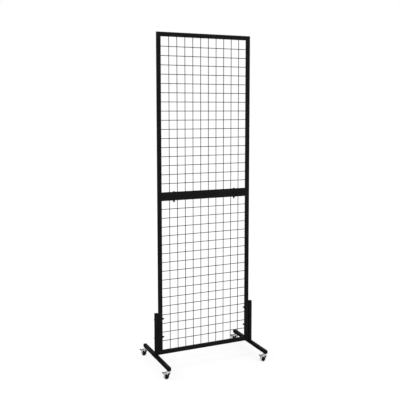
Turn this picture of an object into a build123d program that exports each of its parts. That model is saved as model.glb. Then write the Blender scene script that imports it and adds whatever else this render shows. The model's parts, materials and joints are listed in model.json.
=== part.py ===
from build123d import *
import math
import os

# Free-standing wire grid display stand: two framed mesh panels bolted one above the other,
# held between two T-shaped legs that roll on four braked swivel casters.
# Units are millimetres. Origin: on the floor, under the middle of the panels.
# +Z is up, X runs along the panels, and the front of the stand faces -Y.

# ---- driving dimensions ----------------------------------------------------------------
panel_width = 600.0
cell_columns = 11
cell_rows = 17
cell_height = 52.5
joint_cell_height = 50.0  # of the row of cells beside the rail that bolts to the other panel
rail_width = 25.0  # of the frame tube, seen from the front
rail_depth = 12.5  # of the frame tube, from front to back
rail_wall = 1.2
rail_corner = 1.5

wire_radius = 2.0
back_layer = 2.7  # from the panel's middle plane back to the axes of the horizontal wires
weld_set_down = 0.3  # how far the two wire layers sink into each other

leg_tube = 20.0
leg_wall = 1.2
leg_corner = 1.6
leg_gap = 2.5  # between a panel's stile and the leg beside it
upright_height = 250.0
base_bar_length = 412.0
leg_bolt_heights = (105.0, 215.0)  # above the base bar
mid_bolt_x = 197.0  # from the middle to each bolt that joins the panels

plug_head = 3.0
plug_tongue = 6.0
plug_clearance = 0.1

bolt_radius = 3.0
bolt_hole_radius = 3.3
bolt_head_radius = 6.0
bolt_head_height = 2.8
washer_radius = 7.0
washer_height = 1.0
nut_across_flats = 10.0
nut_height = 5.0
nut_dome_radius = 4.6
nut_dome_height = 6.0
nut_bore_radius = 3.05
nut_bore_depth = 8.5

caster_height = 50.0
caster_inset = 192.0  # from the middle of a base bar to each swivel axis
caster_trail = 13.0  # from the swivel axis to the axle
wheel_radius = 16.0
wheel_width = 15.0
hub_radius = 12.2
hub_boss_radius = 5.0
hub_web_recess = 2.0
wheel_gap = 0.3  # between the hub's boss and a fork leg
axle_radius = 2.5
axle_head_radius = 4.2
axle_head_height = 1.8
running_clearance = 0.06

sheet = 1.5  # of the fork and of the brake lever
fork_top = 40.0
fork_nose = 9.0  # from the swivel axis to the fork's front edge
fork_tail = 30.0  # from the swivel axis to the rear of the ears that hold the brake
crown_tail = 20.5  # from the swivel axis to the rear of the crown between those ears
fork_lobe_radius = 5.5
fork_bend_radius = 2.4
fork_inner_half = wheel_width / 2 + 0.5 + wheel_gap

stem_radius = 4.0
stem_reach = 13.0  # above the caster's top
stem_collar_flats = 14.0
stem_foot_radius = 6.4
stem_foot_height = 1.6
race_radius = 10.9
race_wall = 1.3
race_ring_height = 1.1
ball_radius = 1.6
ball_circle = 7.2
ball_count = 12
swivel_gap = 0.3

pin_radius = 1.5
pin_back = 25.0  # from the swivel axis to the brake's hinge pin
pin_height = 35.6
lever_half_width = 7.4  # of the barrel and the shoe
pedal_half_width = 4.5
lever_barrel_radius = 3.0
lever_reach = 14.0
lever_rise_deg = 20.0  # of the pedal above level, with the brake off
brake_travel_deg = 30.0
shoe_gap = 0.35  # left between the shoe and the tyre with the brake on
cap_length = 7.0
cap_thickness = 5.0
cap_half_width = 5.6

# ---- levels and places worked out from them ---------------------------------------------
cell_width = (panel_width - 2 * rail_width) / cell_columns
panel_height = cell_rows * cell_height + 2 * rail_width
bar_top = caster_height + leg_tube
lower_panel_base = bar_top
upper_panel_base = lower_panel_base + panel_height
leg_inner_x = panel_width / 2 + leg_gap
leg_centre_x = leg_inner_x + leg_tube / 2
stile_inner_x = panel_width / 2 - rail_width
front_layer = back_layer - 2 * wire_radius + weld_set_down
fork_outer_half = fork_inner_half + sheet
sides = {"left": -1, "right": 1}
ends = {"front": -1, "back": 1}

nodes = {}


def group(solids):
    return Compound(children=list(solids))


def cylinder(radius, length, base, direction):
    """A solid cylinder from its base centre along a direction."""
    return extrude(Plane(origin=base, z_dir=direction) * Circle(radius), length)


def hex_prism(across_flats, height, plane):
    return extrude(plane * RegularPolygon(across_flats / 2, 6, major_radius=False), height)


def hollow_tube(width, depth, wall, corner, length):
    """A rectangular steel tube standing on the XY plane."""
    outside = RectangleRounded(width, depth, corner)
    inside = RectangleRounded(width - 2 * wall, depth - 2 * wall, corner - wall)
    return extrude(outside - inside, length)


# ---- mesh panels --------------------------------------------------------------------------
def frame_member(length):
    """A mitred frame tube along X, with its outer face on z = 0 and the panel above it."""
    tube = hollow_tube(rail_width, rail_depth, rail_wall, rail_corner, length)
    tube = Pos(-length / 2, 0, rail_width / 2) * Rot(0, 90, 0) * tube
    half = length / 2
    inner = half - rail_width
    outline = Polygon((-half, 0), (half, 0), (inner, rail_width), (-inner, rail_width), align=None)
    mitre = extrude(Plane.XZ.offset(-rail_depth) * outline, 2 * rail_depth)
    return tube & mitre


def vertical_wires(base):
    first = -(cell_columns / 2 - 1) * cell_width
    length = panel_height - 2 * rail_width
    for column in range(cell_columns - 1):
        foot = (first + column * cell_width, front_layer, base + rail_width)
        yield cylinder(wire_radius, length, foot, (0, 0, 1))


def horizontal_wires(first_level, step):
    """The horizontal wires, from the one next to the bolted rail to the far end of the panel."""
    length = panel_width - 2 * rail_width
    for row in range(cell_rows - 1):
        foot = (-length / 2, back_layer, first_level + row * step)
        yield cylinder(wire_radius, length, foot, (1, 0, 0))


def drill_mid_bolts(rail, base):
    for side in sides.values():
        foot = (side * mid_bolt_x, 0, base - 1)
        rail -= cylinder(bolt_hole_radius, rail_width + 2, foot, (0, 0, 1))
    return rail


def drill_leg_bolts(stile, side):
    for height in leg_bolt_heights:
        foot = (side * (stile_inner_x - 1), 0, bar_top + height)
        stile -= cylinder(bolt_hole_radius, rail_width + 2, foot, (side, 0, 0))
    return stile


def build_panel(name, base, away):
    """One framed panel. away is 1 if it stands above the joint between the panels, and -1 below it."""
    first_wire = upper_panel_base + away * (rail_width + joint_cell_height)
    middle = base + panel_height / 2
    top = base + panel_height
    rail = frame_member(panel_width)
    stile = frame_member(panel_height)
    nodes[name + "_bottom_rail"] = Pos(0, 0, base) * rail
    nodes[name + "_top_rail"] = Pos(0, 0, top) * Rot(0, 180, 0) * rail
    nodes[name + "_left_stile"] = Pos(-panel_width / 2, 0, middle) * Rot(0, 90, 0) * stile
    nodes[name + "_right_stile"] = Pos(panel_width / 2, 0, middle) * Rot(0, -90, 0) * stile
    nodes[name + "_vertical_wires"] = group(vertical_wires(base))
    nodes[name + "_horizontal_wires"] = group(horizontal_wires(first_wire, away * cell_height))


# ---- bolts, washers and nuts ---------------------------------------------------------------
def button_bolt(plane, grip):
    """A round-headed bolt: the plane is under its head, and its shank runs against the normal."""
    head = extrude(plane * Circle(bolt_head_radius), bolt_head_height)
    head = fillet(far_edges(head, plane), 1.6)
    shank = extrude(plane * Circle(bolt_radius), -(grip + nut_bore_depth - 1))
    return head + shank


def far_edges(solid, plane):
    """The edges of a solid that lie farthest along a plane's normal."""
    return solid.edges().group_by(Axis(plane.origin, plane.z_dir))[-1]


def cap_nut(plane):
    """A domed nut that sits on the plane, with a blind bore open at the plane."""
    body = hex_prism(nut_across_flats, nut_height, plane)
    dome = extrude(plane * Circle(nut_dome_radius), nut_height + nut_dome_height)
    dome = fillet(far_edges(dome, plane), nut_dome_radius - 0.4)
    bore = extrude(plane * Circle(nut_bore_radius), nut_bore_depth)
    return body + dome - bore


def washer(plane):
    return extrude(plane * (Circle(washer_radius) - Circle(bolt_hole_radius)), washer_height)


def mid_bolt_planes():
    """For each joint bolt, the plane on the upper rail and the plane under the lower rail."""
    for side in sides.values():
        above = Plane(origin=(side * mid_bolt_x, 0, upper_panel_base + rail_width))
        below = Plane(origin=(side * mid_bolt_x, 0, upper_panel_base - rail_width), z_dir=(0, 0, -1))
        yield above, below


def leg_bolt_planes():
    """For each leg bolt, the plane outside the leg and the plane inside the stile."""
    for side in sides.values():
        for height in leg_bolt_heights:
            level = bar_top + height
            outside = Plane(origin=(side * (leg_inner_x + leg_tube), 0, level), z_dir=(side, 0, 0))
            inside = Plane(origin=(side * stile_inner_x, 0, level), z_dir=(-side, 0, 0))
            yield outside, inside


def build_fasteners(name, planes, grip):
    bolts = []
    washers = []
    nuts = []
    for head_plane, nut_plane in planes:
        bolts.append(button_bolt(head_plane.offset(washer_height), grip + 2 * washer_height))
        washers.append(washer(head_plane))
        washers.append(washer(nut_plane))
        nuts.append(cap_nut(nut_plane.offset(washer_height)))
    nodes[name + "_bolts"] = group(bolts)
    nodes[name + "_washers"] = group(washers)
    nodes[name + "_cap_nuts"] = group(nuts)


def leg_spacers():
    for side in sides.values():
        for height in leg_bolt_heights:
            face = Plane(origin=(side * panel_width / 2, 0, bar_top + height), z_dir=(side, 0, 0))
            yield extrude(face * (Circle(rail_depth / 2 - 0.5) - Circle(bolt_hole_radius)), leg_gap)


# ---- legs ----------------------------------------------------------------------------------
def upright(side):
    tube = hollow_tube(leg_tube, leg_tube, leg_wall, leg_corner, upright_height)
    tube = Pos(side * leg_centre_x, 0, bar_top) * tube
    for height in leg_bolt_heights:
        foot = (side * (leg_inner_x - 1), 0, bar_top + height)
        tube -= cylinder(bolt_hole_radius, leg_tube + 2, foot, (side, 0, 0))
    return tube


def base_bar(side):
    tube = hollow_tube(leg_tube, leg_tube, leg_wall, leg_corner, base_bar_length)
    tube = Rot(90, 0, 0) * tube
    tube = Pos(side * leg_centre_x, base_bar_length / 2, caster_height + leg_tube / 2) * tube
    for end in ends.values():
        foot = (side * leg_centre_x, end * caster_inset, caster_height - 1)
        tube -= cylinder(stem_radius + 0.3, leg_wall + 2, foot, (0, 0, 1))
    return tube


def tube_plug(plane):
    """A moulded plug that closes a leg tube: the plane is the tube's cut end."""
    head = extrude(plane * RectangleRounded(leg_tube, leg_tube, leg_corner), plug_head)
    head = chamfer(far_edges(head, plane), 0.6)
    width = leg_tube - 2 * (leg_wall + plug_clearance)
    corner = leg_corner - leg_wall
    return head + extrude(plane * RectangleRounded(width, width, corner), -plug_tongue)


def bar_end_planes():
    for side in sides.values():
        for end in ends.values():
            centre = (side * leg_centre_x, end * base_bar_length / 2, caster_height + leg_tube / 2)
            yield Plane(origin=centre, x_dir=(1, 0, 0), z_dir=(0, end, 0))


def upright_top_planes():
    for side in sides.values():
        yield Plane(origin=(side * leg_centre_x, 0, bar_top + upright_height))


# ---- casters, built round the swivel axis with the wheel trailing towards -X ---------------------
axle_place = Plane(origin=(-caster_trail, 0, wheel_radius), z_dir=(0, 1, 0))
pin_place = Plane(origin=(-pin_back, 0, pin_height), z_dir=(0, 1, 0))


def centred(plane, profile, half_width):
    """A profile extruded to both sides of the caster's middle plane."""
    return extrude(plane.offset(-half_width) * profile, 2 * half_width)


def caster_stem():
    """The threaded stem, its hexagon collar and the foot that is riveted over under the fork."""
    foot_top = fork_top - sheet - swivel_gap
    shank = cylinder(stem_radius, caster_height + stem_reach - foot_top, (0, 0, foot_top), (0, 0, 1))
    foot_base = (0, 0, foot_top - stem_foot_height)
    foot = cylinder(stem_foot_radius, stem_foot_height, foot_base, (0, 0, 1))
    collar_base = race_top()
    collar = hex_prism(stem_collar_flats, caster_height - collar_base, Plane.XY.offset(collar_base))
    return shank + foot + collar


def race_underside():
    return fork_top + race_ring_height + swivel_gap + 2 * ball_radius


def race_top():
    return race_underside() + race_wall


def upper_race():
    """The pressed cup that covers the ball ring."""
    skirt_base = fork_top + 2 * swivel_gap
    cup = cylinder(race_radius, race_top() - skirt_base, (0, 0, skirt_base), (0, 0, 1))
    cup = fillet(far_edges(cup, Plane.XY), 2.0)
    hollow_radius = race_radius - race_wall
    hollow = cylinder(hollow_radius, race_underside() - skirt_base, (0, 0, skirt_base), (0, 0, 1))
    hole = cylinder(stem_radius, race_top(), (0, 0, 0), (0, 0, 1))
    return cup - hollow - hole


def race_balls():
    level = race_underside() - ball_radius
    for index in range(ball_count):
        angle = 2 * math.pi * index / ball_count
        yield Pos(ball_circle * math.cos(angle), ball_circle * math.sin(angle), level) * Sphere(ball_radius)


def weld_nut():
    """The nut welded inside the base bar that takes the caster's stem."""
    seat = Plane.XY.offset(caster_height + leg_wall)
    nut = hex_prism(13.0, 6.5, seat)
    return nut - cylinder(stem_radius, 20, (0, 0, caster_height), (0, 0, 1))


def fork():
    """A pressed fork: a crown over the wheel, and two legs that taper down to the axle."""
    leg_drop = fork_top - 3
    crown_line = Polyline((fork_nose, fork_top), (fork_nose, leg_drop), (-caster_trail, wheel_radius),
                          (-fork_tail, leg_drop - 4), (-fork_tail, fork_top), close=True)
    lobe = Pos(-caster_trail, wheel_radius) * Circle(fork_lobe_radius)
    outline = make_hull([*crown_line.edges(), *lobe.edges()])
    side_view = Plane(origin=(0, 0, 0), x_dir=(1, 0, 0), z_dir=(0, -1, 0))
    body = extrude(side_view.offset(-fork_outer_half) * outline, 2 * fork_outer_half)
    top_edges = body.edges().filter_by(Axis.X).group_by(Axis.Z)[-1]
    body = fillet(top_edges, fork_bend_radius)
    inner_top = fork_top - sheet
    space = Pos(-caster_trail, 0, inner_top / 2) * Box(4 * fork_tail, 2 * fork_inner_half, inner_top)
    body -= space
    slot = fork_tail - crown_tail + 1
    body -= Pos(-crown_tail - slot / 2, 0, fork_top) * Box(slot, 2 * fork_inner_half, 4 * sheet)
    ring = cylinder(race_radius - race_wall - swivel_gap, race_ring_height, (0, 0, fork_top), (0, 0, 1))
    body += ring
    body -= cylinder(stem_radius + running_clearance, 10, (0, 0, fork_top - 5), (0, 0, 1))
    body -= centred(axle_place, Circle(axle_radius), 2 * fork_outer_half)
    body -= centred(pin_place, Circle(pin_radius), 2 * fork_outer_half)
    return body


def axle():
    """A riveted axle with a head at each end."""
    half = fork_outer_half + axle_head_height
    rod = centred(axle_place, Circle(axle_radius), half)
    for side in (-1, 1):
        face = Plane(origin=(-caster_trail, side * fork_outer_half, wheel_radius), z_dir=(0, side, 0))
        head = extrude(face * Circle(axle_head_radius), axle_head_height)
        rod += fillet(far_edges(head, face), 1.2)
    return rod


def hub():
    """The wheel's moulded centre: a boss on the axle and a thinner web out to the tyre."""
    rim = centred(axle_place, Circle(hub_radius), wheel_width / 2 - 1)
    dish = Circle(hub_radius - 1.6) - Circle(hub_boss_radius)
    for side in (-1, 1):
        start = wheel_width / 2 - 1 - hub_web_recess
        plane = Plane(origin=(-caster_trail, side * start, wheel_radius), z_dir=(0, side, 0))
        rim -= extrude(plane * dish, 2 * hub_web_recess)
    boss = centred(axle_place, Circle(hub_boss_radius), fork_inner_half - wheel_gap)
    bore = centred(axle_place, Circle(axle_radius + running_clearance), wheel_width)
    return rim + boss - bore


def tyre():
    body = centred(axle_place, Circle(wheel_radius), wheel_width / 2)
    rims = body.edges().filter_by(GeomType.CIRCLE)
    body = fillet(rims, 2.0)
    return body - centred(axle_place, Circle(hub_radius), wheel_width)


def pin():
    return centred(pin_place, Circle(pin_radius), fork_outer_half + 0.6)


def lever_plane():
    """A drawing plane with x along the pedal and y up from it, seen from the front."""
    rise = math.radians(lever_rise_deg)
    along = (-math.cos(rise), 0, math.sin(rise))
    return Plane(origin=(-pin_back, 0, pin_height), x_dir=along, z_dir=(0, 1, 0))


def shoe_reach():
    to_axle = math.hypot(pin_back - caster_trail, pin_height - wheel_radius)
    return to_axle - wheel_radius - shoe_gap


def brake_lever():
    """The pedal's steel lever: a barrel on the pin, a flat pedal and a shoe under the barrel."""
    place = lever_plane()
    barrel = Circle(lever_barrel_radius)
    pedal = Pos(lever_reach / 2, lever_barrel_radius - sheet / 2) * Rectangle(lever_reach, sheet)
    to_axle = math.atan2(wheel_radius - pin_height, pin_back - caster_trail)
    off_angle = to_axle - math.radians(brake_travel_deg)
    reach = shoe_reach()
    tip = Plane(origin=(-pin_back, 0, pin_height), x_dir=(math.cos(off_angle), 0, math.sin(off_angle)),
                z_dir=(0, -1, 0))
    shoe = Pos(reach / 2, 0) * RectangleRounded(reach, 3.0, 1.2)
    lever = centred(place, barrel, lever_half_width) + centred(place, pedal, pedal_half_width)
    lever += centred(tip, shoe, lever_half_width)
    return lever - centred(pin_place, Circle(pin_radius + running_clearance), wheel_width)


def brake_cap():
    """The moulded cover pushed over the pedal's tip."""
    place = lever_plane()
    middle = lever_reach - cap_length / 2 + 1
    level = lever_barrel_radius - sheet / 2
    block = centred(place, Pos(middle, level) * RectangleRounded(cap_length, cap_thickness, 1.5),
                    cap_half_width)
    pocket = centred(place, Pos(lever_reach / 2, level) * Rectangle(lever_reach, sheet), pedal_half_width)
    return block - pocket


def caster_places():
    for side_name, side in sides.items():
        for end_name, end in ends.items():
            yield end_name + "_" + side_name, Pos(side * leg_centre_x, end * caster_inset, 0)


def build_casters():
    places = dict(caster_places())
    nodes["caster_stems"] = group(place * caster_stem() for place in places.values())
    nodes["caster_upper_races"] = group(place * upper_race() for place in places.values())
    nodes["caster_race_balls"] = group(place * ball for place in places.values() for ball in race_balls())
    nodes["caster_weld_nuts"] = group(place * weld_nut() for place in places.values())
    for name, place in places.items():
        nodes[name + "_fork"] = place * fork()
        nodes[name + "_axle"] = place * axle()
        nodes[name + "_hub"] = place * hub()
        nodes[name + "_tyre"] = place * tyre()
        nodes[name + "_brake_pin"] = place * pin()
        nodes[name + "_brake_lever"] = place * brake_lever()
        nodes[name + "_brake_cap"] = place * brake_cap()


# ---- the whole stand ----------------------------------------------------------------------------
def build_stand():
    build_panel("lower", lower_panel_base, -1)
    build_panel("upper", upper_panel_base, 1)
    nodes["lower_top_rail"] = drill_mid_bolts(nodes["lower_top_rail"], upper_panel_base - rail_width)
    nodes["upper_bottom_rail"] = drill_mid_bolts(nodes["upper_bottom_rail"], upper_panel_base)
    nodes["lower_left_stile"] = drill_leg_bolts(nodes["lower_left_stile"], -1)
    nodes["lower_right_stile"] = drill_leg_bolts(nodes["lower_right_stile"], 1)
    build_fasteners("panel_joint", mid_bolt_planes(), 2 * rail_width)
    build_fasteners("leg", leg_bolt_planes(), leg_tube + leg_gap + rail_width)
    nodes["leg_spacers"] = group(leg_spacers())
    for name, side in sides.items():
        nodes[name + "_upright"] = upright(side)
        nodes[name + "_base_bar"] = base_bar(side)
    nodes["base_bar_plugs"] = group(tube_plug(plane) for plane in bar_end_planes())
    nodes["upright_plugs"] = group(tube_plug(plane) for plane in upright_top_planes())
    build_casters()


build_stand()
os.makedirs("parts", exist_ok=True)
for node_name, shape in nodes.items():
    export_step(shape, "parts/" + node_name + ".step")
print(len(nodes), "nodes; height", upper_panel_base + panel_height)
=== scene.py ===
"""A free-standing wire grid display stand: two framed mesh panels on T-shaped legs with casters.

Everything is in metres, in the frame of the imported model: +Z up, the front of the stand faces -Y.
"""
import json
import math
import random

import bpy
from mathutils import Matrix, Vector


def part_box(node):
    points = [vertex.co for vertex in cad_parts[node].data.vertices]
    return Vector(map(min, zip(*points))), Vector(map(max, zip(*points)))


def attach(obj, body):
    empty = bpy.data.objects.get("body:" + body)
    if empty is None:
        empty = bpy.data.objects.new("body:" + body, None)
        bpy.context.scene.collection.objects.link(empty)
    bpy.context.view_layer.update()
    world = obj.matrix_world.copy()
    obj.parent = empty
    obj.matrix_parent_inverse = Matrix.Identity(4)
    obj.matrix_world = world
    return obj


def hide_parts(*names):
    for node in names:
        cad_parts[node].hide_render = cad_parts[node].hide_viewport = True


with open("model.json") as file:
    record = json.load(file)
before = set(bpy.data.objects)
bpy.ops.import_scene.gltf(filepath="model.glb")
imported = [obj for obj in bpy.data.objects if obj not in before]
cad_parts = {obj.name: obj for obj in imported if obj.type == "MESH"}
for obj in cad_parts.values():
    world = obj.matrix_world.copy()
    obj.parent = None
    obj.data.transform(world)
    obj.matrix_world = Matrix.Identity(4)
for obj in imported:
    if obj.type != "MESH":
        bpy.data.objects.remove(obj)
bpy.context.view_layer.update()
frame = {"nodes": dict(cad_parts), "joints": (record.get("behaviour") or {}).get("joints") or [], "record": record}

MM = 0.001
SEED = 7
FLOOR_GLOW = 0.72

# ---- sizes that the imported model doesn't state, in millimetres ---------------------------------
WELD_FLARE = 1.0  # how far a wire's end weld spreads past the wire
SPOT_WELD = (2.5, 1.3, 2.5)  # half sizes of the nugget where two wires cross
MITRE_SEAM = (1.5, 0.22)  # half width and height of a ground weld, here and below
FOOT_SEAM = (1.3, 0.35)
FOOT_SEAM_INSET = 1.5
FILLET_BEAD = 1.7
RAIL_CORNER = 1.5
LEG_CORNER = 1.6
SOCKET_FLATS = 4.0
SOCKET_DEPTH = 1.8
SHEET = 1.5
EDGE_SOFTENING = 0.25
# The fork's legs carry a painted dark reflection: black colour below a V-notched line stands in for the zinc legs
# mirroring the dark side of the room.
PAINTED_DARK_LINE = 36.2  # the height where the painted dark reflection on the fork's legs starts
PAINTED_DARK_NOTCH = 27.0  # the height of the tip of its V
PAINTED_DARK_NOTCH_X = 1.0  # how far forward of the axle that tip is
PAINTED_DARK_NOTCH_SLOPE = 2.7  # the V's rise over its run
PAINTED_DARK_REAR = -12.0  # where the painted dark reflection stops behind the axle
PAINTED_DARK_CRISPNESS = 1.5  # the share of the change from black to zinc in a millimetre


# ---- shapes: each is a pair of lists, points in millimetres and faces ----------------------------
def loft(rings, loop=False):
    """Skins a row of rings of equally many points, and closes its two ends, or joins them."""
    count = len(rings[0])
    points = [point for ring in rings for point in ring]
    faces = []
    spans = len(rings) if loop else len(rings) - 1
    for i in range(spans):
        a = i * count
        b = ((i + 1) % len(rings)) * count
        for j in range(count):
            k = (j + 1) % count
            faces.append((a + j, a + k, b + k, b + j))
    if not loop:
        last = (len(rings) - 1) * count
        faces.append(tuple(reversed(range(count))))
        faces.append(tuple(range(last, last + count)))
    return points, faces


def sheet(rows):
    """Skins an open grid of points."""
    count = len(rows[0])
    points = [point for row in rows for point in row]
    faces = []
    for i in range(len(rows) - 1):
        for j in range(count - 1):
            a = i * count + j
            faces.append((a, a + 1, a + count + 1, a + count))
    return points, faces


def joined(shapes):
    points = []
    faces = []
    for more_points, more_faces in shapes:
        base = len(points)
        points.extend(more_points)
        faces.extend(tuple(base + i for i in face) for face in more_faces)
    return points, faces


def placed(shape, matrix):
    points, faces = shape
    return [matrix @ Vector(point) for point in points], faces


def at(x, y, z):
    return Matrix.Translation((x, y, z))


def facing(direction, place=(0, 0, 0)):
    """Turns a shape built along +Z to a direction, and moves its base to a place."""
    turn = Vector(direction).to_track_quat("Z", "Y").to_matrix().to_4x4()
    return Matrix.Translation(place) @ turn


def circle(radius, height, segments):
    angles = [2 * math.pi / segments * i for i in range(segments)]
    return [(radius * math.cos(angle), radius * math.sin(angle), height) for angle in angles]


def lathe(profile, segments=48):
    """A solid of revolution about +Z from (radius, height) pairs."""
    return loft([circle(radius, height, segments) for radius, height in profile])


def washer_shape(inner, outer, thickness, edge):
    """A flat ring from z = 0 up, with its outer and inner edges rounded."""
    profile = rounded([(inner, 0), (outer, 0), (outer, thickness), (inner, thickness)], edge)
    return loft([circle(radius, height, 48) for radius, height in profile], loop=True)


def rounded(corners, radius, steps=3):
    """A closed outline with each corner cut back and rounded by an arc-like curve."""
    made = []
    count = len(corners)
    for i, corner in enumerate(corners):
        before = Vector(corners[i - 1])
        here = Vector(corner)
        after = Vector(corners[(i + 1) % count])
        reach = min(radius, (before - here).length / 2, (after - here).length / 2)
        start = here + (before - here).normalized() * reach
        end = here + (after - here).normalized() * reach
        for k in range(steps + 1):
            t = k / steps
            made.append(tuple(start * (1 - t) ** 2 + here * 2 * t * (1 - t) + end * t ** 2))
    return made


def hexagon(across_flats, limit, height, segments=48):
    """A ring that follows a hexagon, cut off at a limiting radius, as a chamfer does."""
    ring = []
    for i in range(segments):
        angle = 2 * math.pi * i / segments
        from_flat = (angle + math.pi / 6) % (math.pi / 3) - math.pi / 6
        radius = min(across_flats / 2 / math.cos(from_flat), limit)
        ring.append((radius * math.cos(angle), radius * math.sin(angle), height))
    return ring


def rounded_rectangle(half_x, half_y, corner, height, steps):
    """A ring that follows a rectangle with rounded corners."""
    ring = []
    for index, (sx, sy) in enumerate([(1, 1), (-1, 1), (-1, -1), (1, -1)]):
        for k in range(steps + 1):
            angle = math.pi / 2 * (index + k / steps)
            x = sx * (half_x - corner) + corner * math.cos(angle)
            y = sy * (half_y - corner) + corner * math.sin(angle)
            ring.append((x, y, height))
    return ring


def rounded_square(half, corner, height):
    return rounded_rectangle(half, half, corner, height, steps=4)


def box_shape(low, high):
    x0, y0, z0 = low
    x1, y1, z1 = high
    bottom = [(x0, y0, z0), (x1, y0, z0), (x1, y1, z0), (x0, y1, z0)]
    top = [(x, y, z1) for x, y, _ in bottom]
    return loft([bottom, top])


# ---- pieces --------------------------------------------------------------------------------------
def piece(name, shape, body, slot, replaced=(), sharp_deg=35):
    """Makes one visible piece from a shape, with its material, and lets it ride on a CAD body."""
    points, faces = shape
    mesh = bpy.data.meshes.new(name)
    mesh.from_pydata([Vector(point) * MM for point in points], [], faces)
    mesh.validate()
    mesh.shade_smooth()
    mesh.set_sharp_from_angle(angle=math.radians(sharp_deg))
    mesh.materials.append(materials[slot])
    obj = bpy.data.objects.new(name, mesh)
    bpy.context.scene.collection.objects.link(obj)
    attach(obj, body)
    if replaced:
        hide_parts(*replaced)
    return obj


def soften(obj):
    """Rounds a piece's edges, as a coat of paint or a press tool does."""
    bevel = obj.modifiers.new("edges", "BEVEL")
    bevel.width = EDGE_SOFTENING * MM
    bevel.segments = 2
    bevel.limit_method = "ANGLE"
    bevel.angle_limit = math.radians(40)


def thicken(obj, side):
    """Gives a sheet its thickness: behind its normals if side is -1, on both sides if it is 0."""
    solid = obj.modifiers.new("sheet", "SOLIDIFY")
    solid.thickness = SHEET * MM
    solid.offset = side
    solid.use_even_offset = True


def box_mm(node):
    low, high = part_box(node)
    return low / MM, high / MM


# ---- materials -----------------------------------------------------------------------------------
class Network:
    """A node tree, with a short way to work out a value in it."""

    def __init__(self, tree):
        self.nodes = tree.nodes
        self.links = tree.links

    def maths(self, operation, *values):
        """The result of a maths node whose inputs are numbers or other nodes' outputs."""
        node = self.nodes.new("ShaderNodeMath")
        node.operation = operation
        for socket, value in zip(node.inputs, values):
            if isinstance(value, float):
                socket.default_value = value
            else:
                self.links.new(value, socket)
        return node.outputs["Value"]


class Look(Network):
    """A node material built round one Principled shader."""

    def __init__(self, name, roughness, metallic=0.0, specular=0.5):
        self.material = bpy.data.materials.new(name)
        self.material.use_nodes = True
        super().__init__(self.material.node_tree)
        self.shader = self.nodes["Principled BSDF"]
        self.shader.inputs["Roughness"].default_value = roughness
        self.shader.inputs["Metallic"].default_value = metallic
        self.shader.inputs["Specular IOR Level"].default_value = specular
        self.places = self.nodes.new("ShaderNodeTexCoord").outputs["Object"]

    def stretched(self, scale):
        mapping = self.nodes.new("ShaderNodeMapping")
        mapping.inputs["Scale"].default_value = scale
        self.links.new(self.places, mapping.inputs["Vector"])
        return mapping.outputs["Vector"]

    def noise(self, per_metre, detail=3.0, stretch=(1, 1, 1)):
        texture = self.nodes.new("ShaderNodeTexNoise")
        texture.inputs["Scale"].default_value = per_metre
        texture.inputs["Detail"].default_value = detail
        self.links.new(self.stretched(stretch), texture.inputs["Vector"])
        return texture.outputs["Fac"]

    def ramp(self, value, low, high, start=0.35, end=0.65):
        """Turns a noise value into a colour, or a grey level, between two ends."""
        ramp = self.nodes.new("ShaderNodeValToRGB")
        ramp.color_ramp.elements[0].position = start
        ramp.color_ramp.elements[1].position = end
        ramp.color_ramp.elements[0].color = colour(low)
        ramp.color_ramp.elements[1].color = colour(high)
        self.links.new(value, ramp.inputs["Fac"])
        return ramp.outputs["Color"]

    def colour_from(self, value, low, high, **span):
        self.links.new(self.ramp(value, low, high, **span), self.shader.inputs["Base Color"])

    def roughness_from(self, value, low, high, **span):
        self.links.new(self.ramp(value, low, high, **span), self.shader.inputs["Roughness"])

    def clamped(self, operation, *values):
        result = self.maths(operation, *values)
        result.node.use_clamp = True
        return result

    def mixed(self, share, first, second):
        """A colour that goes from the first to the second as the share goes from 0 to 1."""
        mix = self.nodes.new("ShaderNodeMix")
        mix.data_type = "RGBA"
        self.links.new(share, mix.inputs["Factor"])
        self.links.new(first, mix.inputs["A"])
        self.links.new(second, mix.inputs["B"])
        return mix.outputs["Result"]

    def bump_from(self, *layers):
        """Stacks bump layers, each a (value, height in millimetres, strength)."""
        normal = None
        for value, height, strength in layers:
            bump = self.nodes.new("ShaderNodeBump")
            bump.inputs["Distance"].default_value = height * MM
            bump.inputs["Strength"].default_value = strength
            self.links.new(value, bump.inputs["Height"])
            if normal:
                self.links.new(normal, bump.inputs["Normal"])
            normal = bump.outputs["Normal"]
        self.links.new(normal, self.shader.inputs["Normal"])


def colour(value):
    if isinstance(value, (int, float)):
        return value, value, value, 1.0
    return *value, 1.0


def powder_coat():
    look = Look("powder_coat", 0.46, specular=0.1)
    look.colour_from(look.noise(14, 4), (0.0042, 0.0042, 0.0045), (0.0064, 0.0064, 0.0069))
    look.roughness_from(look.noise(60, 4), 0.36, 0.50)
    look.bump_from((look.noise(900, 2), 0.05, 0.35), (look.noise(3200, 2), 0.02, 0.25))
    return look.material


def black_fasteners():
    look = Look("black_fasteners", 0.38, specular=0.12)
    look.colour_from(look.noise(120, 4), (0.0025, 0.0025, 0.003), (0.0055, 0.0055, 0.006))
    look.roughness_from(look.noise(400, 3), 0.26, 0.42)
    look.bump_from((look.noise(2600, 3), 0.02, 0.3))
    return look.material


def black_plastic():
    look = Look("black_plastic", 0.5, specular=0.08)
    look.colour_from(look.noise(90, 3), (0.0025, 0.0025, 0.003), (0.0045, 0.0045, 0.005))
    look.roughness_from(look.noise(700, 3), 0.42, 0.6)
    look.bump_from((look.noise(2400, 4), 0.04, 0.45))
    return look.material


ZINC_DULL = (0.84, 0.85, 0.86)
ZINC_BRIGHT = (0.92, 0.93, 0.935)


def zinc_grain(look):
    """The uneven polish and the fine grain of zinc plate."""
    look.roughness_from(look.noise(500, 4, (1, 1, 4)), 0.42, 0.56)
    look.bump_from((look.noise(1800, 3, (1, 1, 6)), 0.012, 0.3))


def zinc_plate():
    look = Look("zinc_plate", 0.28, metallic=1.0)
    look.colour_from(look.noise(160, 5), ZINC_DULL, ZINC_BRIGHT)
    zinc_grain(look)
    return look.material


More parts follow.
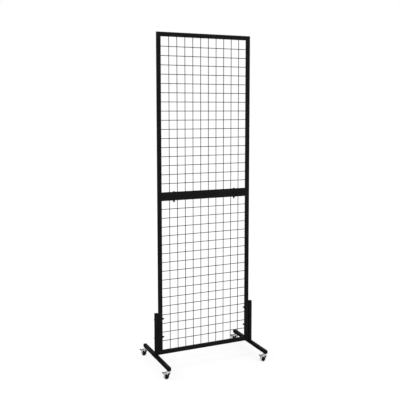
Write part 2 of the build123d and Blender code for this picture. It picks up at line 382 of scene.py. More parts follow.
def coated_fork():
    """Zinc plate, with a painted dark reflection on the legs below a line that dips in a V over the axle:
    near-black colour stands in for the zinc mirroring the dark side of the room.
    """
    look = Look("coated_fork", 0.28, specular=0.1)
    side_view = look.nodes.new("ShaderNodeUVMap")
    side_view.uv_map = "side_view"
    split = look.nodes.new("ShaderNodeSeparateXYZ")
    look.links.new(side_view.outputs["UV"], split.inputs["Vector"])
    aside = look.maths("ABSOLUTE", look.maths("SUBTRACT", split.outputs["X"], PAINTED_DARK_NOTCH_X))
    flank = look.maths("MULTIPLY_ADD", aside, PAINTED_DARK_NOTCH_SLOPE, PAINTED_DARK_NOTCH)
    line = look.maths("MINIMUM", flank, PAINTED_DARK_LINE)
    over = look.maths("SUBTRACT", split.outputs["Y"], line)
    past = look.maths("SUBTRACT", PAINTED_DARK_REAR, split.outputs["X"])
    above = look.clamped("MULTIPLY", over, PAINTED_DARK_CRISPNESS)
    behind = look.clamped("MULTIPLY", past, PAINTED_DARK_CRISPNESS)
    zinc_share = look.maths("MAXIMUM", above, behind)
    steel = look.ramp(look.noise(160, 5), ZINC_DULL, ZINC_BRIGHT)
    # painted dark reflection: a near-black, non-metal colour in place of the zinc legs' mirror image of the dark
    # room
    dark_reflection = look.ramp(look.noise(120, 3), (0.002, 0.002, 0.0023), (0.004, 0.004, 0.0043))
    look.links.new(look.mixed(zinc_share, dark_reflection, steel), look.shader.inputs["Base Color"])
    look.links.new(zinc_share, look.shader.inputs["Metallic"])
    zinc_grain(look)
    return look.material


def bearing_steel():
    look = Look("bearing_steel", 0.12, metallic=1.0)
    look.colour_from(look.noise(300, 2), (0.62, 0.62, 0.64), (0.70, 0.70, 0.72))
    look.roughness_from(look.noise(900, 2), 0.08, 0.18)
    return look.material


def grey_tread():
    look = Look("grey_tread", 0.55, specular=0.4)
    look.colour_from(look.noise(220, 5), (0.52, 0.52, 0.51), (0.62, 0.62, 0.61))
    look.roughness_from(look.noise(600, 3), 0.48, 0.64)
    look.bump_from((look.noise(1500, 4), 0.05, 0.4))
    return look.material


def floor_paint():
    look = Look("floor_paint", 0.9, specular=0.0)
    look.colour_from(look.noise(0.8, 2), (0.36, 0.36, 0.36), (0.38, 0.38, 0.38))
    look.shader.inputs["Emission Color"].default_value = (1.0, 1.0, 1.0, 1.0)
    look.shader.inputs["Emission Strength"].default_value = FLOOR_GLOW
    return look.material


materials = {
    "powder_coat": powder_coat(),
    "black_fasteners": black_fasteners(),
    "black_plastic": black_plastic(),
    "zinc_plate": zinc_plate(),
    "coated_fork": coated_fork(),
    "bearing_steel": bearing_steel(),
    "grey_tread": grey_tread(),
}


def dress_cad_nodes():
    """Gives each CAD node that stays visible its slot's material."""
    slots = {entry["node"]: entry["material_slot"] for entry in frame["record"]["subparts"]}
    for node, obj in frame["nodes"].items():
        obj.data.materials.clear()
        obj.data.materials.append(materials[slots[node]])


# ---- mesh panels ---------------------------------------------------------------------------------
def spread(low, high, count):
    return [low + (high - low) * i / (count - 1) for i in range(count)]


def wire(radius, length):
    """A wire along +Z whose two ends flare into their welds."""
    flare = radius + WELD_FLARE
    ends = [(flare, 0), (radius + 0.45 * WELD_FLARE, 0.5)]
    ends += [(radius + 0.12 * WELD_FLARE, 1.2), (radius, 2.2)]
    middle = [(radius, length * part) for part in (0.25, 0.5, 0.75)]
    tops = [(r, length - height) for r, height in reversed(ends)]
    return lathe(ends + middle + tops, segments=20)


class WireGrid:
    """Where the wires of one panel lie, read from its two CAD wire nodes."""

    def __init__(self, panel, columns, rows):
        self.low_v, self.high_v = box_mm(panel + "_vertical_wires")
        self.low_h, self.high_h = box_mm(panel + "_horizontal_wires")
        self.radius = (self.high_v.y - self.low_v.y) / 2
        self.xs = spread(self.low_v.x + self.radius, self.high_v.x - self.radius, columns)
        self.zs = spread(self.low_h.z + self.radius, self.high_h.z - self.radius, rows)
        self.front_y = (self.low_v.y + self.high_v.y) / 2
        self.back_y = (self.low_h.y + self.high_h.y) / 2
        self.touch_y = (self.high_v.y + self.low_h.y) / 2


def build_wires(panel, columns, rows):
    grid = WireGrid(panel, columns, rows)
    height = grid.high_v.z - grid.low_v.z
    width = grid.high_h.x - grid.low_h.x
    upright = wire(grid.radius, height)
    level = wire(grid.radius, width)
    layers = {"vertical": [], "horizontal": []}
    for x in grid.xs:
        layers["vertical"].append(placed(upright, at(x, grid.front_y, grid.low_v.z)))
    for z in grid.zs:
        start = (grid.low_h.x, grid.back_y, z)
        layers["horizontal"].append(placed(level, facing((1, 0, 0), start)))
    for way, wires in layers.items():
        node = f"{panel}_{way}_wires"
        piece(f"{panel}_wires_{way}", joined(wires), "stand", "powder_coat", [node])
    piece(panel + "_spot_welds", spot_welds(grid), "stand", "powder_coat")


def spot_welds(grid):
    """A small nugget at each crossing, a little different each time."""
    chance = random.Random(SEED)
    arc = [math.pi * i / 6 for i in range(1, 6)]
    ball = lathe([(math.sin(a), -math.cos(a)) for a in arc], segments=12)
    nuggets = []
    for x in grid.xs:
        for z in grid.zs:
            size = [half * chance.uniform(0.9, 1.1) for half in SPOT_WELD]
            scale = Matrix.Diagonal((*size, 1.0))
            nuggets.append(placed(ball, at(x, grid.touch_y, z) @ scale))
    return joined(nuggets)


def seam(start, end, outward, half_width, height):
    """A low bead of ground-down weld between two points of a face with that outward direction."""
    start = Vector(start)
    end = Vector(end)
    outward = Vector(outward)
    along = (end - start).normalized()
    across = along.cross(outward)
    steps = max(8, int((end - start).length / 1.2))
    rings = []
    for i in range(steps + 1):
        t = i / steps
        ripple = 1 + 0.18 * math.cos(math.pi * i)
        taper = math.sin(math.pi * min(max(t, 0.04), 0.96)) ** 0.25
        ring = []
        for k in range(9):
            angle = math.pi * k / 8
            offset = across * math.cos(angle) * half_width * taper
            lift = outward * math.sin(angle) * height * ripple * taper
            ring.append(start.lerp(end, t) + offset + lift)
        ring.append(start.lerp(end, t) - outward * 0.3)
        rings.append(ring)
    return loft(rings)


def mitre_seams(panel):
    """The ground welds along the eight mitre lines of one frame, four in front and four behind."""
    low, high = box_mm(panel + "_bottom_rail")
    inner = high.z - low.z - RAIL_CORNER
    top = box_mm(panel + "_top_rail")[1].z
    seams = []
    for face_y, outward in ((low.y, (0, -1, 0)), (high.y, (0, 1, 0))):
        for side in (-1, 1):
            outer_x = side * high.x
            for level, up in ((low.z, 1), (top, -1)):
                start = (outer_x - side * RAIL_CORNER, face_y, level + up * RAIL_CORNER)
                end = (outer_x - side * inner, face_y, level + up * inner)
                seams.append(seam(start, end, outward, *MITRE_SEAM))
    return joined(seams)


# ---- fasteners -----------------------------------------------------------------------------------
def arc_profile(radius, base, height, steps=8, inner=0.0):
    """(radius, height) pairs of a dome that starts upright at its rim and ends level at its top."""
    made = []
    for i in range(steps + 1):
        angle = math.pi / 2 * i / steps
        made.append((inner + (radius - inner) * math.cos(angle), base + height * math.sin(angle)))
    return made


def button_head(radius, height):
    """A domed bolt head from z = 0 up, with a hexagonal socket in its top."""
    segments = 48
    dome = arc_profile(radius, 0.5, height - 0.5, inner=SOCKET_FLATS / 2 + 0.9)
    rings = [circle(radius - 0.25, 0, segments), circle(radius, 0.25, segments)]
    rings += [circle(r, z, segments) for r, z in dome]
    rim = SOCKET_FLATS / 2 / math.cos(math.pi / 6)
    rings.append(hexagon(SOCKET_FLATS + 0.3, rim + 0.15, height, segments))
    rings.append(hexagon(SOCKET_FLATS, rim, height - 0.2, segments))
    rings.append(hexagon(SOCKET_FLATS, rim, height - SOCKET_DEPTH, segments))
    rings.append(circle(0.3, height - SOCKET_DEPTH - 0.4, segments))
    return loft(rings)


def bolt_shape(head_radius, head_height, shank_radius, length):
    """A button-head bolt whose head sits on z = 0 and whose shank runs down."""
    shank = [(shank_radius - 0.5, -length), (shank_radius, -length + 0.6), (shank_radius, 0.2)]
    return joined([button_head(head_radius, head_height), lathe(shank, 32)])


def cap_nut_shape(flats, nut_height, dome_radius, total_height):
    """A domed nut from z = 0 up."""
    limit = flats / 2 / math.cos(math.pi / 6)
    chamfered = flats / 2 * 1.01
    rings = [hexagon(flats, chamfered, 0), hexagon(flats, limit, 0.45)]
    rings += [hexagon(flats, limit, nut_height - 0.5), hexagon(flats, chamfered, nut_height)]
    rings.append(circle(dome_radius + 0.15, nut_height, 48))
    rings.append(circle(dome_radius, nut_height + 0.3, 48))
    wall = total_height - dome_radius
    dome = arc_profile(dome_radius, wall, dome_radius, steps=9)[:-1]
    rings += [circle(r, z, 48) for r, z in dome]
    rings.append(circle(0.35, total_height, 48))
    return loft(rings)


HEAD_RADIUS = 6.0
HEAD_HEIGHT = 2.8
SHANK_RADIUS = 3.0
NUT_FLATS = 10.0
NUT_HEIGHT = 5.0
NUT_DOME_RADIUS = 4.6
NUT_TOTAL = 11.0
WASHER_RADIUS = 7.0
WASHER_HEIGHT = 1.0
WASHER_HOLE = 3.1
BOLT_END = 7.0  # how far a bolt reaches into its nut
BOLT_TURN = 0.7  # radians from one bolt's hexagon to the next one's


def build_fasteners(group, places):
    """Bolts, washers and nuts at places: (under the head, under the nut, the head's direction)."""
    bolts = []
    washers = []
    nuts = []
    first_head, first_foot, _ = places[0]
    grip = (Vector(first_head) - Vector(first_foot)).length
    bolt = bolt_shape(HEAD_RADIUS, HEAD_HEIGHT, SHANK_RADIUS, grip + 2 * WASHER_HEIGHT + BOLT_END)
    nut = cap_nut_shape(NUT_FLATS, NUT_HEIGHT, NUT_DOME_RADIUS, NUT_TOTAL)
    ring = washer_shape(WASHER_HOLE, WASHER_RADIUS, WASHER_HEIGHT, 0.25)
    for index, (head, foot, outward) in enumerate(places):
        outward = Vector(outward)
        spin = Matrix.Rotation(index * BOLT_TURN, 4, "Z")
        bolts.append(placed(bolt, facing(outward, Vector(head) + outward * WASHER_HEIGHT) @ spin))
        washers.append(placed(ring, facing(outward, head)))
        washers.append(placed(ring, facing(-outward, foot)))
        nuts.append(placed(nut, facing(-outward, Vector(foot) - outward * WASHER_HEIGHT) @ spin))
    names = [group + "_bolts", group + "_washers", group + "_cap_nuts"]
    for name, shapes in zip(names, (bolts, washers, nuts)):
        piece(name + "_detailed", joined(shapes), "stand", "black_fasteners", [name], sharp_deg=30)


def panel_joint_places():
    low, high = box_mm("panel_joint_washers")
    for x in (low.x + WASHER_RADIUS, high.x - WASHER_RADIUS):
        yield (x, 0, high.z - WASHER_HEIGHT), (x, 0, low.z + WASHER_HEIGHT), (0, 0, 1)


def leg_bolt_places():
    low, high = box_mm("leg_washers")
    stile_face = box_mm("lower_right_stile")[0].x
    for side in (-1, 1):
        for z in (low.z + WASHER_RADIUS, high.z - WASHER_RADIUS):
            head = (side * (high.x - WASHER_HEIGHT), 0, z)
            foot = (side * stile_face, 0, z)
            yield head, foot, (side, 0, 0)


def build_spacers():
    low, high = box_mm("leg_spacers")
    inner = box_mm("lower_right_stile")[1].x
    radius = (high.y - low.y) / 2
    ring = washer_shape(WASHER_HOLE, radius, high.x - inner, 0.3)
    rings = []
    for side in (-1, 1):
        for z in (low.z + radius, high.z - radius):
            rings.append(placed(ring, facing((side, 0, 0), (side * inner, 0, z))))
    piece("leg_spacer_rings", joined(rings), "stand", "black_plastic", ["leg_spacers"])


# ---- legs ----------------------------------------------------------------------------------------
PLUG_HEAD = 3.0
PLUG_TONGUE = 6.0
PLUG_WALL = 1.3  # from the side of the head to the side of the tongue
PLUG_EDGE = 0.6  # how far the head's edge is rounded


def plug_shape(half):
    """A tube plug: its flat head stands on z = 0, and its tongue goes down."""
    tongue = half - PLUG_WALL
    rings = [rounded_square(tongue, 0.8, -PLUG_TONGUE), rounded_square(tongue, 0.8, 0)]
    rings.append(rounded_square(half - 0.15, LEG_CORNER, 0))
    rings.append(rounded_square(half, LEG_CORNER, 0.25))
    for i in range(5):
        angle = math.pi / 2 * i / 4
        inset = PLUG_EDGE * (1 - math.cos(angle))
        height = PLUG_HEAD - 0.7 + PLUG_EDGE * math.sin(angle)
        rings.append(rounded_square(half - inset, LEG_CORNER - inset, height))
    rings.append(rounded_square(half - 4.0, 0.8, PLUG_HEAD - 0.04))
    rings.append(rounded_square(half - 7.0, 0.8, PLUG_HEAD))
    return loft(rings)


def build_plugs():
    low, high = box_mm("left_base_bar")
    half = (high.x - low.x) / 2
    level = (high.z + low.z) / 2
    plug = plug_shape(half)
    ends = []
    tops = []
    for bar_low, bar_high in (box_mm("left_base_bar"), box_mm("right_base_bar")):
        x = (bar_low.x + bar_high.x) / 2
        ends.append(placed(plug, facing((0, -1, 0), (x, bar_low.y, level))))
        ends.append(placed(plug, facing((0, 1, 0), (x, bar_high.y, level))))
    for node in ("left_upright", "right_upright"):
        tube_low, tube_high = box_mm(node)
        x = (tube_low.x + tube_high.x) / 2
        tops.append(placed(plug, at(x, 0, tube_high.z)))
    piece("base_bar_end_caps", joined(ends), "stand", "black_plastic", ["base_bar_plugs"])
    piece("upright_end_caps", joined(tops), "stand", "black_plastic", ["upright_plugs"])


def fillet_bead(start, end, out_a, out_b):
    """A weld bead in the corner between two faces, with the ripples of its passes."""
    start = Vector(start)
    end = Vector(end)
    out_a = Vector(out_a)
    out_b = Vector(out_b)
    steps = int((end - start).length / 0.5)
    rings = []
    for i in range(steps + 1):
        t = i / steps
        ripple = 1 + 0.09 * math.cos(2 * math.pi * i / 4)
        taper = min(1.0, 0.45 + 6 * min(t, 1 - t))
        ring = []
        for k in range(7):
            angle = math.pi / 2 * k / 6
            reach = FILLET_BEAD * ripple * taper
            outward = out_a * math.cos(angle) + out_b * math.sin(angle)
            ring.append(start.lerp(end, t) + outward * reach)
        ring.append(start.lerp(end, t) - (out_a + out_b) * 0.3)
        rings.append(ring)
    return loft(rings)


def upright_welds():
    """Fillets across the front and back of each upright's foot, and flush seams at its sides."""
    beads = []
    up = Vector((0, 0, 1))
    for node in ("left_upright", "right_upright"):
        low, high = box_mm(node)
        z = low.z
        for y, out in ((low.y, -1), (high.y, 1)):
            start = (low.x + LEG_CORNER, y, z)
            end = (high.x - LEG_CORNER, y, z)
            beads.append(fillet_bead(start, end, (0, out, 0), up))
        for x, out in ((low.x, -1), (high.x, 1)):
            start = (x, low.y + FOOT_SEAM_INSET, z)
            end = (x, high.y - FOOT_SEAM_INSET, z)
            beads.append(seam(start, end, (out, 0, 0), *FOOT_SEAM))
    return joined(beads)


# ---- casters: swivel axis at x = y = 0, floor at z = 0, wheel trailing to -X ---------------------
FORK_TOP = 40.0
FORK_OUTER = 9.8
FORK_BEND = 2.4
NOSE = (9.0, 37.0)
NOSE_BULGE = 1.5  # how far the crown's front bows out between the legs
TAIL = (-30.0, 33.0)
CROWN_TAIL = -21.4
AXLE = (-13.0, 16.0)
LOBE = 5.5
AXLE_RADIUS = 2.5
AXLE_HEAD = (4.2, 1.8)  # radius and height, here and below
PIN_HEAD = (2.3, 0.8)
BOSS_RISE = 0.45  # how far a leg is pressed outwards round the axle
BOSS_RADIUS = 5.0
BOSS_SLOPE = 2.2
PIN = (-25.0, 35.6)
PIN_RADIUS = 1.5
PEDAL_RISE = math.radians(20)
PEDAL_REACH = 14.0
PEDAL_HALF = 4.0
PEDAL_STEPS = 9
PEDAL_EVEN = 4  # the steps of the pedal over which its width stays the same
BARREL_STEPS = 13
LEVER_HALF = 7.4
SHOE_INSET = 0.6  # of the shoe's sides from the barrel's
CAP_LIFT = 2.25  # the middle of the cover over the line from the pin along the pedal
CAP_GRIP = 6.0  # how far the cover reaches back over the pedal from its tip
CAP_RIB_LEVEL = 2.5
SHOE_DIRECTION = math.radians(-108.5)
SHOE_REACH = 6.0
WHEEL_RADIUS = 16.0
WHEEL_HALF = 7.5
HUB_RADIUS = 12.2
RACE_RADIUS = 10.9
RACE_TOP = 45.9
RACE_EDGE = 2.2
RACE_WALL = 1.3
BAR_BOTTOM = 50.0
STEM_FLATS = 14.0
STEM_RADIUS = 4.0
STEM_TOP = 62.6
STEM_SHOULDER = 37.6
STEM_FOOT = (6.4, 36.6, 38.2)  # radius, bottom and top


def tangent_point(point, turn):
    """Where the line from a point touches the lobe round the axle, on the side that turn picks."""
    dx = point[0] - AXLE[0]
    dz = point[1] - AXLE[1]
    angle = math.atan2(dz, dx) + turn * math.acos(LOBE / math.hypot(dx, dz))
    return AXLE[0] + LOBE * math.cos(angle), AXLE[1] + LOBE * math.sin(angle)


NOSE_TOUCH = tangent_point(NOSE, -1)
TAIL_TOUCH = tangent_point(TAIL, 1)


def leg_edge(z, corner, touch, side):
    """The x of a fork leg's front (side 1) or rear (side -1) edge at a height."""
    if z >= corner[1]:
        return corner[0]
    if z >= touch[1]:
        share = (z - touch[1]) / (corner[1] - touch[1])
        return touch[0] + share * (corner[0] - touch[0])
    drop = max(LOBE ** 2 - (z - AXLE[1]) ** 2, 0.0)
    return AXLE[0] + side * math.sqrt(drop)


def smooth_share(value):
    value = min(max(value, 0.0), 1.0)
    return value * value * (3 - 2 * value)


def fork_stations():
    """(y, z, share of the way onto the crown) along the bent sheet, from foot to foot."""
    lowest = AXLE[1] - LOBE + 0.12
    bend_start = FORK_TOP - FORK_BEND
    foot = [(FORK_OUTER, lowest + (AXLE[1] - lowest) * (i / 8) ** 2, 0.0) for i in range(8)]
    leg = [(FORK_OUTER, AXLE[1] + (bend_start - AXLE[1]) * i / 16, 0.0) for i in range(17)]
    bend = []
    for i in range(1, 7):
        angle = math.pi / 2 * i / 6
        y = FORK_OUTER - FORK_BEND + FORK_BEND * math.cos(angle)
        bend.append((y, bend_start + FORK_BEND * math.sin(angle), i / 6))
    flat = FORK_OUTER - FORK_BEND
    crown = [(flat * (1 - i / 6), FORK_TOP, 1.0) for i in range(1, 7)]
    half = foot + leg + bend + crown
    return half + [(-y, z, share) for y, z, share in reversed(half[:-1])]


def fork_shape():
    columns = 28
    rows = []
    for y, z, share in fork_stations():
        front = leg_edge(z, NOSE, NOSE_TOUCH, 1)
        rear = leg_edge(z, TAIL, TAIL_TOUCH, -1)
        front += NOSE_BULGE * share * math.cos(math.pi / 2 * y / FORK_OUTER)
        rear += (CROWN_TAIL - rear) * smooth_share(share * 1.3 - 0.3)
        row = []
        for i in range(columns + 1):
            x = rear + (front - rear) * i / columns
            row.append((x, y + math.copysign(boss(x, z), y) * (1 - share), z))
        rows.append(row)
    return sheet(rows)


def map_side_view(fork, points):
    """Gives the fork's painted dark reflection its map: millimetres forward of the axle and above the floor."""
    side_view = fork.data.uv_layers.new(name="side_view")
    for loop in fork.data.loops:
        x, _, z = points[loop.vertex_index]
        side_view.data[loop.index].uv = (x - AXLE[0], z)


def boss(x, z):
    """How far the sheet is pressed outwards round the axle."""
    away = math.hypot(x - AXLE[0], z - AXLE[1])
    return BOSS_RISE * (1 - smooth_share((away - BOSS_RADIUS) / BOSS_SLOPE))


def rivet(radius, height):
    """A low domed rivet head from z = 0 up."""
    rim = 0.3
    dome = arc_profile(radius, rim, height - rim, steps=6)[1:-1]
    profile = [(radius - rim, 0), (radius, rim)] + dome + [(0.3, height)]
    return lathe(profile, segments=40)


def crossing_rod(place, radius, half, head):
    """A rod across the caster at a place in its side view, with a head at each end."""
    x, z = place
    rod = placed(lathe([(radius, -half), (radius, half)], 40), facing((0, 1, 0), (x, 0, z)))
    heads = []
    for side in (-1, 1):
        end = facing((0, side, 0), (x, side * half, z))
        heads.append(placed(rivet(*head), end))
    return joined([rod] + heads)


def revolved(half_outline, segments):
    """A ring about the axle from its (radius, height) outline on one side of the middle plane."""
    outline = half_outline + [(radius, -height) for radius, height in reversed(half_outline)]
    shape = loft([circle(radius, height, segments) for radius, height in outline], loop=True)
    return placed(shape, facing((0, 1, 0), (AXLE[0], 0, AXLE[1])))


def tyre_shape():
    """The tread: a flat band with round shoulders, on the hub's rim."""
    edge = 2.0
    start = WHEEL_HALF - edge
    shoulder = arc_profile(WHEEL_RADIUS, start, edge, steps=6, inner=WHEEL_RADIUS - edge)
    tread = [(WHEEL_RADIUS, 0.6), (WHEEL_RADIUS, 3.0)]
    wall = [(HUB_RADIUS + 0.5, WHEEL_HALF), (HUB_RADIUS, WHEEL_HALF - 0.4), (HUB_RADIUS, 0.5)]
    return revolved(tread + shoulder + wall, 96)


def hub_shape():
    """The hub: a rim, a web that is recessed on both sides and carries ribs, and a boss."""
    face = WHEEL_HALF - 1.0
    floor = face - 2.0
    boss_half = 8.0
    boss_radius = 4.9
    rib_half = 0.6
    bore = AXLE_RADIUS + 0.06
    rim = [(HUB_RADIUS - 0.02, 0.5), (HUB_RADIUS - 0.02, face - 0.5), (HUB_RADIUS - 0.4, face)]
    rim += [(HUB_RADIUS - 1.3, face), (HUB_RADIUS - 1.7, face - 0.4)]
    web = [(HUB_RADIUS - 2.0, floor + 0.4), (HUB_RADIUS - 2.5, floor), (boss_radius + 0.7, floor)]
    boss_side = [(boss_radius + 0.2, floor + 0.4), (boss_radius, boss_half - 0.5)]
    boss_side += [(boss_radius - 0.4, boss_half), (AXLE_RADIUS + 0.4, boss_half)]
    boss_side += [(bore, boss_half - 0.3), (bore, 0.5)]
    body = revolved(rim + web + boss_side, 72)
    ribs = []
    for index in range(6):
        for side in (-1, 1):
            low, high = sorted((side * (floor - 0.3), side * (face - 0.35)))
            rib_start = (boss_radius - 0.3, -rib_half, low)
            rib = box_shape(rib_start, (HUB_RADIUS - 1.5, rib_half, high))
            turn = Matrix.Rotation(math.pi / 3 * index, 4, "Z")
            ribs.append(placed(rib, facing((0, 1, 0), (AXLE[0], 0, AXLE[1])) @ turn))
    return joined([body] + ribs)


def lever_line():
    """(x, z) points along the lever's sheet, from the pedal's tip round the pin to the shoe."""
    along = Vector((-math.cos(PEDAL_RISE), math.sin(PEDAL_RISE)))
    up = Vector((math.sin(PEDAL_RISE), math.cos(PEDAL_RISE)))
    radius = PIN_RADIUS + 0.06 + SHEET / 2
    line = []
    for i in range(PEDAL_STEPS):
        share = 1 - i / PEDAL_STEPS
        crown = 0.35 * math.sin(math.pi * share)
        line.append(Vector(PIN) + along * PEDAL_REACH * share + up * (radius + crown))
    start_angle = math.pi / 2 - PEDAL_RISE
    end_angle = SHOE_DIRECTION + math.pi / 2
    for i in range(BARREL_STEPS):
        angle = start_angle + (end_angle - start_angle) * i / (BARREL_STEPS - 1)
        line.append(Vector(PIN) + Vector((math.cos(angle), math.sin(angle))) * radius)
    shoe = Vector((math.cos(SHOE_DIRECTION), math.sin(SHOE_DIRECTION)))
    line += [line[-1] + shoe * SHOE_REACH * share for share in (0.33, 0.67, 1.0)]
    return line


def lever_half_width(index):
    """Half the lever's width at a point of its line, from the pedal over the barrel to the shoe."""
    if index >= PEDAL_STEPS + BARREL_STEPS:
        return LEVER_HALF - SHOE_INSET
    share = smooth_share((index - PEDAL_EVEN) / (PEDAL_STEPS - PEDAL_EVEN))
    return PEDAL_HALF + (LEVER_HALF - PEDAL_HALF) * share


def lever_shape():
    """The lever as one bent sheet, drawn as its middle surface."""
    rows = []
    for index, point in enumerate(lever_line()):
        half = lever_half_width(index)
        rows.append([(point.x, half * (i / 6 - 1), point.y) for i in range(13)])
    return sheet(rows)


def cap_ring(half_width, half_thickness, height):
    """A ring round the pedal's cover or round one of its ribs."""
    corner = min(half_thickness * 0.9, 1.5)
    return rounded_rectangle(half_width, half_thickness, corner, height, steps=5)


def cap_shape():
    """The moulded cover on the pedal's tip, with three grip ribs on top."""
    along = Vector((-math.cos(PEDAL_RISE), 0, math.sin(PEDAL_RISE)))
    up = Vector((math.sin(PEDAL_RISE), 0, math.cos(PEDAL_RISE)))
    basis = Matrix((along.cross(up), up, along)).transposed().to_4x4()
    basis.translation = Vector((PIN[0], 0, PIN[1])) + up * CAP_LIFT
    start = PEDAL_REACH - CAP_GRIP
    sections = [(0.0, 4.4, 2.0), (0.3, 4.8, 2.4), (0.9, 4.9, 2.5), (3.5, 4.9, 2.5), (5.6, 4.8, 2.5)]
    sections += [(6.4, 4.5, 2.3), (6.85, 4.0, 1.9), (7.0, 3.2, 1.3)]
    rings = [cap_ring(half_w, half_t, start + reach) for reach, half_w, half_t in sections]
    ribs = []
    for reach in (1.5, 3.2, 4.9):
        outline = [(3.6, 0.35, -0.45), (3.8, 0.5, -0.2), (3.8, 0.5, 0.2), (3.6, 0.35, 0.45)]
        rib = loft([cap_ring(*section) for section in outline])
        ribs.append(placed(rib, at(0, CAP_RIB_LEVEL, start + reach)))
    return placed(joined([loft(rings)] + ribs), basis)


def race_shape():
    """The pressed cup over the ball ring: its outside, its rim and its hollow."""
    base = FORK_TOP + 0.6
    inside = RACE_TOP - RACE_WALL
    start = RACE_TOP - RACE_EDGE
    flat = RACE_RADIUS - RACE_EDGE
    outline = [(RACE_RADIUS - 0.3, base), (RACE_RADIUS, base + 0.3)]
    outline += arc_profile(RACE_RADIUS, start, RACE_EDGE, steps=6, inner=flat)
    wall = RACE_RADIUS - RACE_WALL
    outline += [(STEM_RADIUS, RACE_TOP), (STEM_RADIUS, inside), (wall - 1.2, inside)]
    outline += [(wall - 0.3, RACE_TOP - 1.9), (wall, RACE_TOP - 2.8), (wall, base + 0.1)]
    outline.append((wall + 0.2, base))
    return loft([circle(radius, height, 64) for radius, height in outline], loop=True)


def stem_shape():
    """The stem's hexagon collar under the bar, its shank, and the foot under the fork."""
    limit = STEM_FLATS / 2 / math.cos(math.pi / 6)
    chamfered = STEM_FLATS / 2 * 1.01
    collar = [hexagon(STEM_FLATS, chamfered, RACE_TOP), hexagon(STEM_FLATS, limit, RACE_TOP + 0.5)]
    collar += [hexagon(STEM_FLATS, limit, BAR_BOTTOM - 0.1)]
    collar += [hexagon(STEM_FLATS, limit - 0.1, BAR_BOTTOM)]
    tip = (STEM_RADIUS - 0.6, STEM_TOP)
    shank = lathe([tip, (STEM_RADIUS, STEM_TOP - 0.6), (STEM_RADIUS, STEM_SHOULDER)], 32)
    radius, bottom, top = STEM_FOOT
    foot = lathe([(radius - 0.4, bottom), (radius, bottom + 0.4), (radius, top)], 40)
    return joined([loft(collar), shank, foot])


CASTERS = ("front_left", "front_right", "back_left", "back_right")


def swivel_place(name):
    for joint in frame["joints"]:
        if joint["name"] == name + "_swivel_turn":
            x, y, _ = joint["pos_m"]
            return at(x / MM, y / MM, 0)
    raise ValueError(name)


def build_caster(name):
    place = swivel_place(name)

    def caster_piece(ending, shape, body, slot, node):
        """One piece of this caster, with the caster's name before every name."""
        names = [f"{name}_{part}" for part in (ending, body, node)]
        return piece(names[0], placed(shape, place), names[1], slot, [names[2]])

    shape = fork_shape()
    # the coated_fork slot is zinc with a painted dark reflection on the legs
    fork = caster_piece("fork_pressed", shape, "swivel", "coated_fork", "fork")
    map_side_view(fork, shape[0])
    thicken(fork, -1)
    soften(fork)
    axle = crossing_rod(AXLE, AXLE_RADIUS, FORK_OUTER + BOSS_RISE, AXLE_HEAD)
    caster_piece("axle_riveted", axle, "swivel", "black_fasteners", "axle")
    pin = crossing_rod(PIN, PIN_RADIUS, FORK_OUTER, PIN_HEAD)
    caster_piece("hinge_pin", pin, "swivel", "zinc_plate", "brake_pin")
    caster_piece("wheel_tread", tyre_shape(), "wheel", "grey_tread", "tyre")
    caster_piece("wheel_hub", hub_shape(), "wheel", "black_plastic", "hub")
    lever = caster_piece("pedal", lever_shape(), "brake", "zinc_plate", "brake_lever")
    thicken(lever, 0)
    soften(lever)
    caster_piece("pedal_cap", cap_shape(), "brake", "black_plastic", "brake_cap")


def build_caster_tops():
    places = [swivel_place(name) for name in CASTERS]
    stems = [placed(stem_shape(), place) for place in places]
    races = [placed(race_shape(), place) for place in places]
    piece("caster_stem_collars", joined(stems), "stand", "zinc_plate", ["caster_stems"])
    piece("caster_race_cups", joined(races), "stand", "zinc_plate", ["caster_upper_races"])


# ---- room, light and camera ----------------------------------------------------------------------
ROOM_SIDE = 0.9
ROOM_TOP = 1.0
ROOM_LEFT = 0.72
ROOM_FRONT_LOW = 0.5
ROOM_BACK_LOW = 0.02
ROOM_BACK = 0.32
FLOOR_REACH = 400000.0
SOFTBOX_PLACE = (-3.4, 0.6, 2.2)
SOFTBOX_TARGET = (0, 0, 1.0)
SOFTBOX_SIZE = 2.0
SOFTBOX_WATTS = 25
CAMERA_PLACE = (-1.5788, -3.4347, 1.5132)
CAMERA_YAW = 24.2863
CAMERA_PITCH = 5.5743
CAMERA_ROLL = 0.0608
FOCAL_SHARE = 1.59375  # the focal length over the width of the picture
SENSOR_WIDTH = 36.0
CAMERA_RISE = -0.06925  # how far the picture is shifted, over its width


def build_floor():
    """A wide pale floor with its top at z = 0. Metal doesn't mirror it, as in a cut-out shot."""
    rings = [circle(FLOOR_REACH, -20.0, 64), circle(FLOOR_REACH, 0.0, 64)]
    rings += [circle(FLOOR_REACH * share, 0.0, 64) for share in (0.5, 0.1, 0.01, 0.001)]
    points, faces = loft(rings)
    mesh = bpy.data.meshes.new("studio_floor")
    mesh.from_pydata([Vector(point) * MM for point in points], [], faces)
    mesh.materials.append(floor_paint())
    floor = bpy.data.objects.new("studio_floor", mesh)
    floor.visible_glossy = False
    bpy.context.scene.collection.objects.link(floor)


class RoomLight(Network):
    """Says how bright the room is in each direction."""

    def __init__(self, world):
        super().__init__(world.node_tree)
        direction = self.nodes.new("ShaderNodeTexCoord").outputs["Generated"]
        split = self.nodes.new("ShaderNodeSeparateXYZ")
        self.links.new(direction, split.inputs["Vector"])
        self.axis = split.outputs

    def share(self, axis, start, end):
        """0 where the direction's coordinate is at start, 1 at end, and smooth between them."""
        step = self.nodes.new("ShaderNodeMapRange")
        step.interpolation_type = "SMOOTHSTEP"
        step.inputs["From Min"].default_value = start
        step.inputs["From Max"].default_value = end
        self.links.new(self.axis[axis], step.inputs["Value"])
        return step.outputs["Result"]

    def towards(self, level, share, end):
        """A level that moves to another one as the share goes from 0 to 1."""
        gap = self.maths("SUBTRACT", end, level)
        return self.maths("MULTIPLY_ADD", gap, share, level)


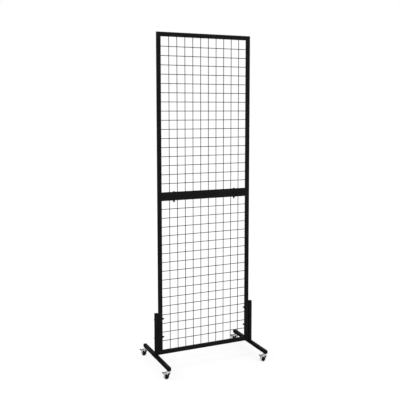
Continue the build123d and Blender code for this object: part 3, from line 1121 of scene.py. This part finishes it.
def build_world():
    """A pale room: brightest above, dimmer behind the stand, and dimmest low down behind it."""
    world = bpy.data.worlds.new("studio")
    bpy.context.scene.world = world
    world.use_nodes = True
    room = RoomLight(world)
    level = room.towards(ROOM_SIDE, room.share("Z", 0.15, 0.95), ROOM_TOP)
    level = room.towards(level, room.share("X", 0.2, -0.9), ROOM_LEFT)
    behind = room.share("Y", 0.3, 0.8)
    in_front = room.share("Y", -0.15, -0.75)
    below = room.share("Z", 0.05, -0.25)
    level = room.towards(level, behind, ROOM_BACK)
    level = room.towards(level, room.maths("MULTIPLY", behind, below), ROOM_BACK_LOW)
    level = room.towards(level, room.maths("MULTIPLY", in_front, below), ROOM_FRONT_LOW)
    seen = room.nodes.new("ShaderNodeLightPath").outputs["Is Camera Ray"]
    level = room.towards(level, seen, 1.0)
    background = room.nodes["Background"]
    background.inputs["Color"].default_value = (1.0, 1.0, 1.0, 1.0)
    room.links.new(level, background.inputs["Strength"])


def build_softbox():
    data = bpy.data.lights.new("key_softbox", "AREA")
    data.shape = "RECTANGLE"
    data.size = SOFTBOX_SIZE
    data.size_y = SOFTBOX_SIZE
    data.energy = SOFTBOX_WATTS
    lamp = bpy.data.objects.new("key_softbox", data)
    lamp.location = SOFTBOX_PLACE
    aim = Vector(SOFTBOX_TARGET) - Vector(SOFTBOX_PLACE)
    lamp.rotation_euler = aim.to_track_quat("-Z", "Y").to_euler()
    lamp.visible_camera = False
    bpy.context.scene.collection.objects.link(lamp)


def build_camera():
    data = bpy.data.cameras.new("camera")
    data.sensor_width = SENSOR_WIDTH
    data.lens = FOCAL_SHARE * SENSOR_WIDTH
    data.shift_y = CAMERA_RISE
    data.clip_end = 100
    camera = bpy.data.objects.new("camera", data)
    camera.location = CAMERA_PLACE
    turns = (90 - CAMERA_PITCH, CAMERA_ROLL, -CAMERA_YAW)
    camera.rotation_euler = [math.radians(turn) for turn in turns]
    bpy.context.scene.collection.objects.link(camera)
    bpy.context.scene.camera = camera


# ---- the whole stand -----------------------------------------------------------------------------
dress_cad_nodes()
for panel_name in ("lower", "upper"):
    build_wires(panel_name, columns=10, rows=16)
    piece(panel_name + "_mitre_seams", mitre_seams(panel_name), "stand", "powder_coat")
build_fasteners("panel_joint", list(panel_joint_places()))
build_fasteners("leg", list(leg_bolt_places()))
build_spacers()
build_plugs()
piece("upright_foot_welds", upright_welds(), "stand", "powder_coat")
for caster_name in CASTERS:
    build_caster(caster_name)
build_caster_tops()
build_floor()
build_world()
build_softbox()
build_camera()
bpy.context.scene.view_settings.view_transform = "Standard"
